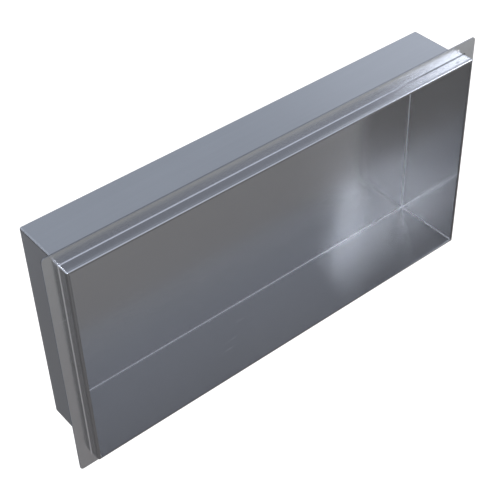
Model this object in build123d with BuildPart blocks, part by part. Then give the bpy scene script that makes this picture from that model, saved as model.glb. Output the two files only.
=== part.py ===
from build123d import *
from math import atan2, degrees
import os

# Recessed shower niche insert, folded from one stainless sheet and welded along its seams.
# Millimetres, +X to the right, +Z up, front towards -Y.
# The origin is the centre of the opening, on the flange's back face, which lies on the wall.

# Sheet and folds
SHEET = 1.5
BEND_INSIDE = 1.0

# Lip that frames the opening, measured outside
LIP_WIDTH = 609.6
LIP_HEIGHT = 304.8
LIP_DEPTH = 15.5

# Hem: the wall turns back on itself and runs back as a second leaf.
# The gap between wall and leaf narrows towards the fold.
HEM_GAP = 1.2
NOSE_GAP = 0.5
NOSE_LENGTH = 3.6

# Front edge to the outside of the back panel
DEPTH = 99.5

# Flange that stands out from the lip all round
FLANGE_WIDTH = 18.0
FLANGE_CORNER = 5.0

# Screw holes, one at the right end of the top flange strip and one at the left end of the bottom strip
SCREW_HOLE_DIAMETER = 4.0
SCREW_HOLE_INSET = 11.0

# Sizes that follow from the ones above
BEND_OUTSIDE = BEND_INSIDE + SHEET
FRONT = SHEET + LIP_DEPTH
TRAY_WIDTH = LIP_WIDTH - 2 * (SHEET + HEM_GAP)
TRAY_HEIGHT = LIP_HEIGHT - 2 * (SHEET + HEM_GAP)
OPENING_WIDTH = TRAY_WIDTH - 2 * SHEET
OPENING_HEIGHT = TRAY_HEIGHT - 2 * SHEET
LEAF_INNER_WIDTH = LIP_WIDTH - 2 * SHEET
LEAF_INNER_HEIGHT = LIP_HEIGHT - 2 * SHEET
FLANGE_SPAN_X = LIP_WIDTH + 2 * FLANGE_WIDTH
FLANGE_SPAN_Z = LIP_HEIGHT + 2 * FLANGE_WIDTH
NOSE_DROP = HEM_GAP - NOSE_GAP
NOSE_TAPER = degrees(atan2(NOSE_DROP, NOSE_LENGTH))
HEM_ROUND = 0.4 * (2 * SHEET + NOSE_GAP)
LIP_CORNER = NOSE_DROP + 1.1 * HEM_ROUND
HOLE_X = LIP_WIDTH / 2 - SCREW_HOLE_INSET
HOLE_Z = (LIP_HEIGHT + FLANGE_WIDTH) / 2

os.makedirs("parts", exist_ok=True)

wall_plane = Plane.XZ
nose_plane = Plane.XZ.offset(FRONT - NOSE_LENGTH)
front_plane = Plane.XZ.offset(FRONT)

# Tray: back panel and four walls, with every fold and seam rounded, hollowed to the sheet
with BuildPart() as tray:
    with BuildSketch(front_plane):
        Rectangle(TRAY_WIDTH, TRAY_HEIGHT)
    extrude(amount=-DEPTH)
    wall_seams = tray.edges().filter_by(Axis.Y)
    back_folds = tray.faces().sort_by(Axis.Y)[-1].edges()
    fillet(wall_seams + back_folds, BEND_OUTSIDE)
    offset(amount=-SHEET, openings=tray.faces().sort_by(Axis.Y)[0])

with BuildPart() as niche_body:
    # Outside of the lip, drawn in towards the front edge
    with BuildSketch(wall_plane):
        RectangleRounded(LIP_WIDTH, LIP_HEIGHT, LIP_CORNER)
    extrude(amount=FRONT - NOSE_LENGTH)
    with BuildSketch(nose_plane):
        RectangleRounded(LIP_WIDTH, LIP_HEIGHT, LIP_CORNER)
    extrude(amount=NOSE_LENGTH, taper=NOSE_TAPER)

    # Flange: the leaf turns outwards, flat against the wall
    with BuildSketch(wall_plane):
        RectangleRounded(FLANGE_SPAN_X, FLANGE_SPAN_Z, FLANGE_CORNER)
    extrude(amount=SHEET)
    flange_front = niche_body.faces().filter_by(Axis.Y).sort_by(Axis.Y)[1]
    fillet(flange_front.inner_wires()[0].edges(), BEND_INSIDE)

    # Inside of the leaf, one sheet behind its outside, up to the fold at the front edge
    with BuildSketch(wall_plane):
        Rectangle(LEAF_INNER_WIDTH, LEAF_INNER_HEIGHT)
    extrude(amount=FRONT - NOSE_LENGTH, mode=Mode.SUBTRACT)
    with BuildSketch(nose_plane):
        Rectangle(LEAF_INNER_WIDTH, LEAF_INNER_HEIGHT)
    extrude(amount=NOSE_LENGTH - SHEET, taper=NOSE_TAPER, mode=Mode.SUBTRACT)
    flange_back = niche_body.faces().sort_by(Axis.Y)[-1]
    fillet(flange_back.inner_wires()[0].edges(), BEND_OUTSIDE)

    # The walls join the leaf at the front edge, and both edges of that fold are rounded
    with BuildSketch(front_plane):
        RectangleRounded(OPENING_WIDTH, OPENING_HEIGHT, BEND_INSIDE)
    extrude(amount=-SHEET, mode=Mode.SUBTRACT)
    add(tray.part)
    hem_face = niche_body.faces().sort_by(Axis.Y)[0]
    fillet(hem_face.edges(), HEM_ROUND)

    # Screw holes through the flange
    with Locations(wall_plane):
        with Locations((HOLE_X, HOLE_Z), (-HOLE_X, -HOLE_Z)):
            Hole(SCREW_HOLE_DIAMETER / 2)

niche_body.part.label = "niche_body"
export_step(niche_body.part, "parts/niche_body.step")
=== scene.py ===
import math

import bpy
from mathutils import Matrix, Vector


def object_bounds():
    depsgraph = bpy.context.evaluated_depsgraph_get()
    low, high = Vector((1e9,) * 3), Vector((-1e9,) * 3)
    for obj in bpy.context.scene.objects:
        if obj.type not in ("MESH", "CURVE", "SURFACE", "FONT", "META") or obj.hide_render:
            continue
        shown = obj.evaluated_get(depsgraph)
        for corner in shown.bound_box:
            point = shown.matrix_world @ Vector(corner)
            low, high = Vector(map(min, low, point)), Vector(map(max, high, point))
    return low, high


# Metres, in the CAD part's frame: +X to the right, +Z up, front towards -Y

# Camera, fitted to the photo's straight edges
EYE = Vector((-0.70678, -0.83421, 0.96544))
AIM = Vector((-0.03237, 0.02384, -0.00142))
ROLL = -1.9235
LENS = 84.782
SENSOR = 36.0
CLIP = (0.05, 100.0)

# Places on the niche
SHEET = 0.0015
INSIDE_HALF_X = 0.3006
INSIDE_HALF_Z = 0.1482
INSIDE_BACK = 0.0810
SEAM_WIDTH = 0.0011
LIP_HALF_X = 0.3048
LIP_HALF_Z = 0.1524
BEND_REACH = 0.0012
FOLD_FRONT = -0.0170
FOLD_LENGTH = 0.0036
FOLD_TIP = 0.0011
FLANGE_CORNER = 0.005
CUT_DEPTH = 0.0002

# How far a normal has to turn: a wall faces sideways or a bottom up, an edge is turned, an edge is turned inwards
FACING = (0.8, 0.95)
TURNED = 0.3
TURNED_IN = -0.01

# Steel and its roughness
STEEL = (0.55, 0.55, 0.55)
ANISOTROPY = 1.0
ROUGH_BRUSHED = 0.13
ROUGH_SCRATCH = 0.255
ROUGH_BOTTOM = 0.20
ROUGH_SIDE = 0.10
ROUGH_MILL = 0.32
ROUGH_SEAM = 0.45
ROUGH_CUT = 0.45

# Tones of the steel's parts. A pair of tones changes over a turn along X. Apart from the mill finish and the
# sheared edge, these tones are painted light: painted shade and painted highlights.
MILL_TONE = 0.70
# Painted shade: the tray's outer side walls darker than its outer top
MILL_SIDE_PAINTED_SHADE = 0.40
# Painted highlight: the inside seams lighter than the steel beside them
SEAM_PAINTED_HIGHLIGHT = 1.75
CUT_TONE = 0.5
# Painted highlight and painted reflection: the flange lighter than the steel, more so towards its right end
FLANGE_PAINTED_LIGHT = (1.26, 1.60)
FLANGE_TURN = (-0.30, 0.20)
# Painted highlight on the bend at the left, turning to painted shade towards the right
BEND_PAINTED_LIGHT = (1.75, 0.35)
BEND_TURN = (0.12, 0.25)
# Painted shade: the lip darker than the steel
LIP_PAINTED_SHADE = 0.79
# Painted shade: the fold at the front edge darker
FOLD_PAINTED_SHADE = 0.65
# Painted highlight on the upper side of the front fold's tip
TIP_PAINTED_HIGHLIGHT = 1.5
# Painted highlight on the lip's corner edges
CORNER_PAINTED_HIGHLIGHT = 1.8
# Painted shade on the inner edge of the front fold
INNER_PAINTED_SHADE = 0.45

# Brushing: features per metre along the grain and across it, and the noise's detail
GRAIN_SKEW = 0.01
GRAIN_NOISE_ROUGHNESS = 0.6
SCRATCH_NOISE = (900.0, 40000.0, 0.0)
SCRATCH_LEVEL = 0.50
FINE_NOISE = (9.0, 1400.0, 3.0)
FINE_RANGE = (0.25, 0.75)
FINE_TONES = (0.97, 1.03)
BROAD_NOISE = (3.0, 120.0, 2.0)
BROAD_RANGE = (0.25, 0.75)
BROAD_TONES = (0.985, 1.015)
CLOUD_SCALE = 9.0
CLOUD_DETAIL = 2.0
WEAR_RANGE = (0.3, 0.7)
WEAR_ROUGHNESS = (-0.01, 0.01)
BUMP_STRENGTH = 0.02
BUMP_DISTANCE = 0.0002

# Floor, paler ahead of the niche, with painted shade darker behind it, and the white paper on it
FLOOR_Z = -1.6
FLOOR_RADIUS = 30.0
FLOOR_SIDES = 96
FLOOR_AHEAD = (0.59, 0.56, 0.48, 1.0)
# Painted shade: the floor darker behind the niche
FLOOR_PAINTED_SHADE = (0.35, 0.31, 0.27, 1.0)
FLOOR_TURN = (-2.3, -1.4)
PAPER_CENTRE = (1.3, 1.7, FLOOR_Z)
PAPER_RADIUS = 1.8
PAPER_FADE = 0.6
PAPER_GLOW = 1.0
PAPER_COLOUR = (1.0, 1.0, 1.0, 1.0)

# Sky, brighter behind the niche
SKY_FRONT = (0.487, 0.522, 0.619, 1.0)
SKY_BACK = (0.868, 0.969, 1.156, 1.0)
SKY_TURN = (0.2, 0.6)
SKY_STRENGTH = 1.0

# Lamps: name, azimuth, elevation, width, height, radiance, lean. Azimuth 0 is in front and 90 on the right.
LAMP_COLOUR = (0.82, 0.874, 1.0)
LAMP_DISTANCE = 2.4
LAMPS = (
    ("fill_left", -52.0, 56.0, 0.70, 0.40, 16.8, 30.0),
    ("fill_low", -56.0, 48.0, 0.45, 0.40, 2.0, 0.0),
    ("window_right", 46.0, 20.0, 0.28, 0.40, 3.1, 0.0),
    ("window_high", 58.5, 34.5, 0.28, 0.40, 6.8, 0.0),
    ("back_right", 103.0, 41.0, 1.6, 1.0, 0.70, 0.0),
    ("rim_left", -135.0, 4.0, 0.5, 0.5, 4.0, 0.0),
)


def node(tree, kind, inputs=None, **settings):
    """A node of that kind, with its settings, and with sockets linked or values set on its inputs."""
    made = tree.nodes.new(kind)
    for key, value in settings.items():
        setattr(made, key, value)
    for key, value in (inputs or {}).items():
        if isinstance(value, bpy.types.NodeSocket):
            tree.links.new(value, made.inputs[key])
        else:
            made.inputs[key].default_value = value
    return made


def calc(tree, operation, a, b=0.0):
    """The output of a Math node."""
    return node(tree, "ShaderNodeMath", {0: a, 1: b}, operation=operation).outputs[0]


def product(tree, first, *others):
    """All the values multiplied."""
    for other in others:
        first = calc(tree, "MULTIPLY", first, other)
    return first


def magnitude(tree, value):
    return calc(tree, "ABSOLUTE", value)


def below(tree, value, limit):
    """1 where the value is less than the limit, 0 elsewhere."""
    return calc(tree, "LESS_THAN", value, limit)


def above(tree, value, limit):
    """1 where the value is more than the limit, 0 elsewhere."""
    return calc(tree, "GREATER_THAN", value, limit)


def opposite(tree, mask):
    return calc(tree, "SUBTRACT", 1.0, mask)


def vector_calc(tree, operation, a, b=(0, 0, 0), output="Vector"):
    """An output of a Vector Math node."""
    return node(tree, "ShaderNodeVectorMath", {0: a, 1: b}, operation=operation).outputs[output]


def scaled(tree, vector, scale):
    return node(tree, "ShaderNodeVectorMath", {0: vector, "Scale": scale}, operation="SCALE").outputs["Vector"]


def dot(tree, a, b):
    return vector_calc(tree, "DOT_PRODUCT", a, b, "Value")


def components(tree, vector):
    """The outputs X, Y and Z."""
    return node(tree, "ShaderNodeSeparateXYZ", {0: vector}).outputs


def spread(tree, value, low, high, to_low, to_high, smooth=False):
    """value, moved from the range low to high into the range to_low to to_high."""
    made = node(
        tree,
        "ShaderNodeMapRange",
        {"Value": value, "From Min": low, "From Max": high, "To Min": to_low, "To Max": to_high},
        interpolation_type="SMOOTHSTEP" if smooth else "LINEAR",
    )
    return made.outputs["Result"]


def blend(tree, mask, low, high, kind="FLOAT"):
    """low where the mask is 0, high where it is 1. The kind RGBA is for colours."""
    inputs = {"Factor": mask, "A": low, "B": high}
    return node(tree, "ShaderNodeMix", inputs, data_type=kind).outputs["Result"]


def new_material(name):
    material = bpy.data.materials.new(name)
    material.use_nodes = True
    material.node_tree.nodes.clear()
    return material, material.node_tree


def grain_frame(tree):
    """Place and normal, the brushing's direction on the surface, and the direction across it.

    The brushing runs along X, and along Y on the faces that look sideways.
    """
    geometry = node(tree, "ShaderNodeNewGeometry")
    normal = geometry.outputs["Normal"]
    along_x = node(tree, "ShaderNodeCombineXYZ", {"X": 1.0, "Y": GRAIN_SKEW, "Z": 0.0}).outputs[0]
    lift = scaled(tree, normal, dot(tree, along_x, normal))
    grain = vector_calc(tree, "NORMALIZE", vector_calc(tree, "SUBTRACT", along_x, lift))
    across = vector_calc(tree, "NORMALIZE", vector_calc(tree, "CROSS_PRODUCT", normal, grain))
    return geometry.outputs["Position"], normal, grain, across


def grain_noise(tree, place, grain, across, along_scale, across_scale, detail):
    """Noise drawn out along the grain. Scales are in features per metre."""
    u = product(tree, dot(tree, place, grain), along_scale)
    v = product(tree, dot(tree, place, across), across_scale)
    point = node(tree, "ShaderNodeCombineXYZ", {"X": u, "Y": v, "Z": 0.0}).outputs[0]
    noise = node(
        tree,
        "ShaderNodeTexNoise",
        {"Vector": point, "Scale": 1.0, "Detail": detail, "Roughness": GRAIN_NOISE_ROUGHNESS},
        noise_dimensions="3D",
    )
    return noise.outputs["Fac"]


def inside_mask(tree, xyz):
    """1 on the inside of the tray, 0 elsewhere."""
    half = SHEET / 2
    x = below(tree, magnitude(tree, xyz["X"]), INSIDE_HALF_X + half)
    z = below(tree, magnitude(tree, xyz["Z"]), INSIDE_HALF_Z + half)
    y = below(tree, xyz["Y"], INSIDE_BACK + half)
    return product(tree, x, z, y)


def outside_mask(tree, xyz, inside):
    """1 on the outside of the tray and the back of the flange, 0 on the inside and on the front."""
    return product(tree, above(tree, xyz["Y"], -SHEET / 2), opposite(tree, inside))


def seam_mask(tree, xyz, inside):
    """1 along the inside seams and folds, where two of the tray's inside faces are near."""
    x = above(tree, magnitude(tree, xyz["X"]), INSIDE_HALF_X - SEAM_WIDTH)
    z = above(tree, magnitude(tree, xyz["Z"]), INSIDE_HALF_Z - SEAM_WIDTH)
    y = above(tree, xyz["Y"], INSIDE_BACK - SEAM_WIDTH)
    faces_near = calc(tree, "ADD", calc(tree, "ADD", x, z), y)
    return product(tree, above(tree, faces_near, 1.5), inside)


def cut_mask(tree, xyz):
    """1 on the flange's sheared outer edge."""
    x = calc(tree, "SUBTRACT", magnitude(tree, xyz["X"]), cad_high.x - FLANGE_CORNER)
    z = calc(tree, "SUBTRACT", magnitude(tree, xyz["Z"]), cad_high.z - FLANGE_CORNER)
    x = calc(tree, "MAXIMUM", x, 0.0)
    z = calc(tree, "MAXIMUM", z, 0.0)
    reach = calc(tree, "SQRT", calc(tree, "ADD", product(tree, x, x), product(tree, z, z)))
    return above(tree, reach, FLANGE_CORNER - CUT_DEPTH)


def front_painted_light(tree, place, normal, xyz, facing, inside):
    """Painted light on the flange, the bend beside it, the lip, and the fold at the front edge: painted
    highlights and painted shade as a tone. It is 1 elsewhere.
    """
    bend_x = below(tree, magnitude(tree, xyz["X"]), LIP_HALF_X + BEND_REACH)
    bend_z = below(tree, magnitude(tree, xyz["Z"]), LIP_HALF_Z + BEND_REACH)
    lip = below(tree, xyz["Y"], -SHEET - BEND_REACH)
    fold = below(tree, xyz["Y"], FOLD_FRONT + FOLD_LENGTH)
    tip = below(tree, xyz["Y"], FOLD_FRONT + FOLD_TIP)
    front = product(tree, below(tree, xyz["Y"], -SHEET / 2), opposite(tree, inside))
    up = above(tree, facing["Z"], TURNED)
    aside = above(tree, magnitude(tree, facing["X"]), TURNED)
    outward = vector_calc(tree, "MULTIPLY", place, (1.0, 0.0, 1.0))
    turned_in = below(tree, dot(tree, outward, normal), TURNED_IN)
    # Painted highlight on the flange; painted highlight turning to painted shade along the bend
    flange_painted_tone = spread(tree, xyz["X"], *FLANGE_TURN, *FLANGE_PAINTED_LIGHT, smooth=True)
    bend_painted_tone = spread(tree, xyz["X"], *BEND_TURN, *BEND_PAINTED_LIGHT, smooth=True)
    tone = blend(tree, product(tree, bend_x, bend_z), flange_painted_tone, bend_painted_tone)
    # Painted shade on the lip and the fold, painted highlights on the tip and the lip's corners, painted shade on
    # the fold's inner edge
    tone = blend(tree, lip, tone, LIP_PAINTED_SHADE)
    tone = blend(tree, fold, tone, FOLD_PAINTED_SHADE)
    tone = blend(tree, product(tree, tip, up), tone, TIP_PAINTED_HIGHLIGHT)
    tone = blend(tree, product(tree, up, aside, lip), tone, CORNER_PAINTED_HIGHLIGHT)
    tone = blend(tree, front, 1.0, tone)
    return blend(tree, product(tree, tip, turned_in), tone, INNER_PAINTED_SHADE)


def stainless_steel():
    """Brushed stainless sheet, with the duller mill finish left on the outside of the tray. Its colour also holds
    painted shade and painted highlights on the outer sides, the seams and the front.
    """
    material, tree = new_material("stainless_sheet")
    place, normal, grain, across = grain_frame(tree)
    xyz = components(tree, place)
    facing = components(tree, normal)

    # Parts of the sheet
    inside = inside_mask(tree, xyz)
    mill = outside_mask(tree, xyz, inside)
    seam = seam_mask(tree, xyz, inside)
    cut = cut_mask(tree, xyz)
    sideways = spread(tree, magnitude(tree, facing["X"]), *FACING, 0.0, 1.0)
    side = product(tree, sideways, inside)
    bottom = product(tree, spread(tree, facing["Z"], *FACING, 0.0, 1.0), inside)

    # Brushing: fine scratches, rougher than the steel between them, and slight changes along the grain
    scratch = above(tree, grain_noise(tree, place, grain, across, *SCRATCH_NOISE), SCRATCH_LEVEL)
    fine = grain_noise(tree, place, grain, across, *FINE_NOISE)
    broad = grain_noise(tree, place, grain, across, *BROAD_NOISE)
    cloud_inputs = {"Vector": place, "Scale": CLOUD_SCALE, "Detail": CLOUD_DETAIL}
    cloud = node(tree, "ShaderNodeTexNoise", cloud_inputs).outputs["Fac"]

    core = blend(tree, bottom, ROUGH_BRUSHED, ROUGH_BOTTOM)
    rough = blend(tree, scratch, core, ROUGH_SCRATCH)
    rough = blend(tree, side, rough, ROUGH_SIDE)
    rough = blend(tree, mill, rough, ROUGH_MILL)
    rough = blend(tree, seam, rough, ROUGH_SEAM)
    rough = blend(tree, cut, rough, ROUGH_CUT)
    for wear in (fine, cloud):
        rough = calc(tree, "ADD", rough, spread(tree, wear, *WEAR_RANGE, *WEAR_ROUGHNESS))

    # Mill finish tone, with painted shade on the outer side walls
    mill_and_side_shade = blend(tree, sideways, MILL_TONE, MILL_SIDE_PAINTED_SHADE)
    tone = product(
        tree,
        spread(tree, fine, *FINE_RANGE, *FINE_TONES),
        spread(tree, broad, *BROAD_RANGE, *BROAD_TONES),
        blend(tree, mill, 1.0, mill_and_side_shade),
        # Painted highlight along the inside seams
        blend(tree, seam, 1.0, SEAM_PAINTED_HIGHLIGHT),
        blend(tree, cut, 1.0, CUT_TONE),
        # Painted highlights and painted shade on the front
        front_painted_light(tree, place, normal, xyz, facing, inside),
    )
    bump = node(
        tree,
        "ShaderNodeBump",
        {"Strength": BUMP_STRENGTH, "Distance": BUMP_DISTANCE, "Height": fine},
    )
    shader = node(
        tree,
        "ShaderNodeBsdfPrincipled",
        {
            "Base Color": scaled(tree, STEEL, tone),
            "Metallic": 1.0,
            "Roughness": rough,
            "Anisotropic": ANISOTROPY,
            "Tangent": across,
            "Normal": bump.outputs["Normal"],
        },
    )
    node(tree, "ShaderNodeOutputMaterial", {"Surface": shader.outputs[0]})
    return material


def floor_material():
    """Pale floor, with painted shade darker behind the niche. Where the paper lies behind the niche it is white
    in the picture and in reflections.
    """
    material, tree = new_material("floor")
    place = node(tree, "ShaderNodeNewGeometry").outputs["Position"]
    far = vector_calc(tree, "DISTANCE", place, PAPER_CENTRE, "Value")
    paper = spread(tree, far, PAPER_RADIUS, PAPER_RADIUS + PAPER_FADE, 1.0, 0.0, smooth=True)
    path = node(tree, "ShaderNodeLightPath").outputs
    seen = calc(tree, "MAXIMUM", path["Is Camera Ray"], path["Is Glossy Ray"])
    seen = calc(tree, "MAXIMUM", seen, path["Is Transmission Ray"])
    glow = product(tree, paper, seen, PAPER_GLOW)
    # Painted shade: the floor darker behind the niche
    behind = spread(tree, components(tree, place)["Y"], *FLOOR_TURN, 0.0, 1.0, smooth=True)
    colour = blend(tree, behind, FLOOR_AHEAD, FLOOR_PAINTED_SHADE, "RGBA")
    diffuse = node(tree, "ShaderNodeBsdfDiffuse", {"Color": colour})
    white = node(tree, "ShaderNodeEmission", {"Color": PAPER_COLOUR, "Strength": glow})
    both = node(tree, "ShaderNodeAddShader", {0: diffuse.outputs[0], 1: white.outputs[0]})
    node(tree, "ShaderNodeOutputMaterial", {"Surface": both.outputs[0]})
    return material


def make_floor():
    bpy.ops.mesh.primitive_circle_add(
        vertices=FLOOR_SIDES, radius=FLOOR_RADIUS, fill_type="NGON", location=(0, 0, FLOOR_Z)
    )
    floor = bpy.context.object
    floor.name = "floor"
    floor.data.materials.append(floor_material())


def make_sky():
    """Soft cool studio light from all round, stronger from behind."""
    world = bpy.data.worlds.new("studio")
    bpy.context.scene.world = world
    world.use_nodes = True
    tree = world.node_tree
    tree.nodes.clear()
    way = node(tree, "ShaderNodeTexCoord").outputs["Generated"]
    behind = spread(tree, components(tree, way)["Y"], *SKY_TURN, 0.0, 1.0, smooth=True)
    colour = blend(tree, behind, SKY_FRONT, SKY_BACK, "RGBA")
    sky = node(tree, "ShaderNodeBackground", {"Color": colour, "Strength": SKY_STRENGTH})
    node(tree, "ShaderNodeOutputWorld", {"Surface": sky.outputs[0]})


def make_softbox(name, azimuth, elevation, width, height, radiance, lean):
    """A soft lamp that faces the niche and leans about its own axis. Angles are in degrees."""
    a, e = math.radians(azimuth), math.radians(elevation)
    way = Vector((math.sin(a) * math.cos(e), -math.cos(a) * math.cos(e), math.sin(e)))
    light = bpy.data.lights.new(name, "AREA")
    light.shape = "RECTANGLE"
    light.size, light.size_y = width, height
    light.energy = radiance * math.pi * width * height
    light.color = LAMP_COLOUR
    lamp = bpy.data.objects.new(name, light)
    turn = way.to_track_quat("Z", "Y").to_matrix() @ Matrix.Rotation(math.radians(lean), 3, "Z")
    lamp.matrix_world = Matrix.Translation(way * LAMP_DISTANCE) @ turn.to_4x4()
    bpy.context.scene.collection.objects.link(lamp)


def make_camera():
    data = bpy.data.cameras.new("camera")
    data.lens, data.sensor_width = LENS, SENSOR
    data.clip_start, data.clip_end = CLIP
    camera = bpy.data.objects.new("camera", data)
    turn = (AIM - EYE).to_track_quat("-Z", "Y").to_matrix()
    roll = Matrix.Rotation(math.radians(ROLL), 3, "Z")
    camera.matrix_world = Matrix.Translation(EYE) @ (turn @ roll).to_4x4()
    bpy.context.scene.collection.objects.link(camera)
    bpy.context.scene.camera = camera


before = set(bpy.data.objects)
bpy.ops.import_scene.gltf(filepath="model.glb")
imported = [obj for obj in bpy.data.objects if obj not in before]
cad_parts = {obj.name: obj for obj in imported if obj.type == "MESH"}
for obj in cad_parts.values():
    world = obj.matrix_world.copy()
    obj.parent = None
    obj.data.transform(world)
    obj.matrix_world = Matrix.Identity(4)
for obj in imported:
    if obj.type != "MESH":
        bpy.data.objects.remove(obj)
cad_low, cad_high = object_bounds()

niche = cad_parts["niche_body"]
niche.material_slots[0].material = stainless_steel()

make_floor()
make_sky()
for lamp_values in LAMPS:
    make_softbox(*lamp_values)
make_camera()
bpy.context.scene.view_settings.view_transform = "Standard"
